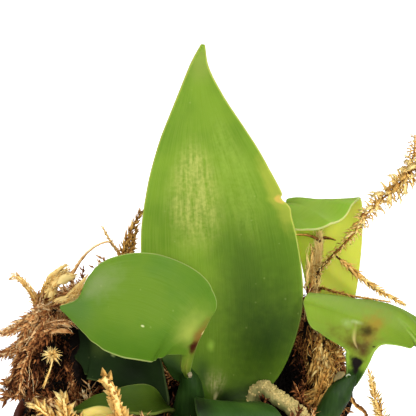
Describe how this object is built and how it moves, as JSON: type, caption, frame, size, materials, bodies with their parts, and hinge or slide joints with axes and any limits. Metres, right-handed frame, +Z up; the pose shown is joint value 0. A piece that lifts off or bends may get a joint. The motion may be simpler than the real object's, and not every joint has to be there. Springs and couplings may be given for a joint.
{
  "type": "potted orchid",
  "caption": "Young vanilla vine orchid with thick green leaves, rooted in a plastic nursery pot filled with dried brown sphagnum moss.",
  "frame": {"origin": "middle of the pot's flat base", "axes": "+Z up, -Y towards the viewer of the plant's front, +X to the viewer's right"},
  "size_m": [0.1261, 0.1066, 0.1967],
  "materials": {
    "pot_plastic": "satin",
    "moss": "matte",
    "moss_strand": "matte",
    "stem": "satin",
    "root": "matte",
    "leaf": "satin",
    "leaf_pale": "satin",
    "leaf_yellow": "satin",
    "leaf_dark": "satin",
    "leaf_dry": "matte"
  },
  "bodies": {
    "root": {"pot": "pot_plastic", "moss_bed": "moss", "strand_right": "moss_strand", "strand_right_front": "moss_strand", "strand_back_left": "moss_strand", "strand_left_hook": "moss_strand", "strand_left_low": "moss_strand", "strand_left_star": "moss_strand", "strand_front": "moss_strand", "stem_left": "stem", "stem_right": "stem", "aerial_root": "root", "leaf_tall": "leaf", "leaf_left": "leaf", "leaf_right": "leaf_pale", "leaf_back": "leaf_yellow", "leaf_low": "leaf_dark", "leaf_shaded": "leaf_dark", "leaf_front": "leaf_dark", "leaf_dry": "leaf_dry"}
  },
  "joints": []
}
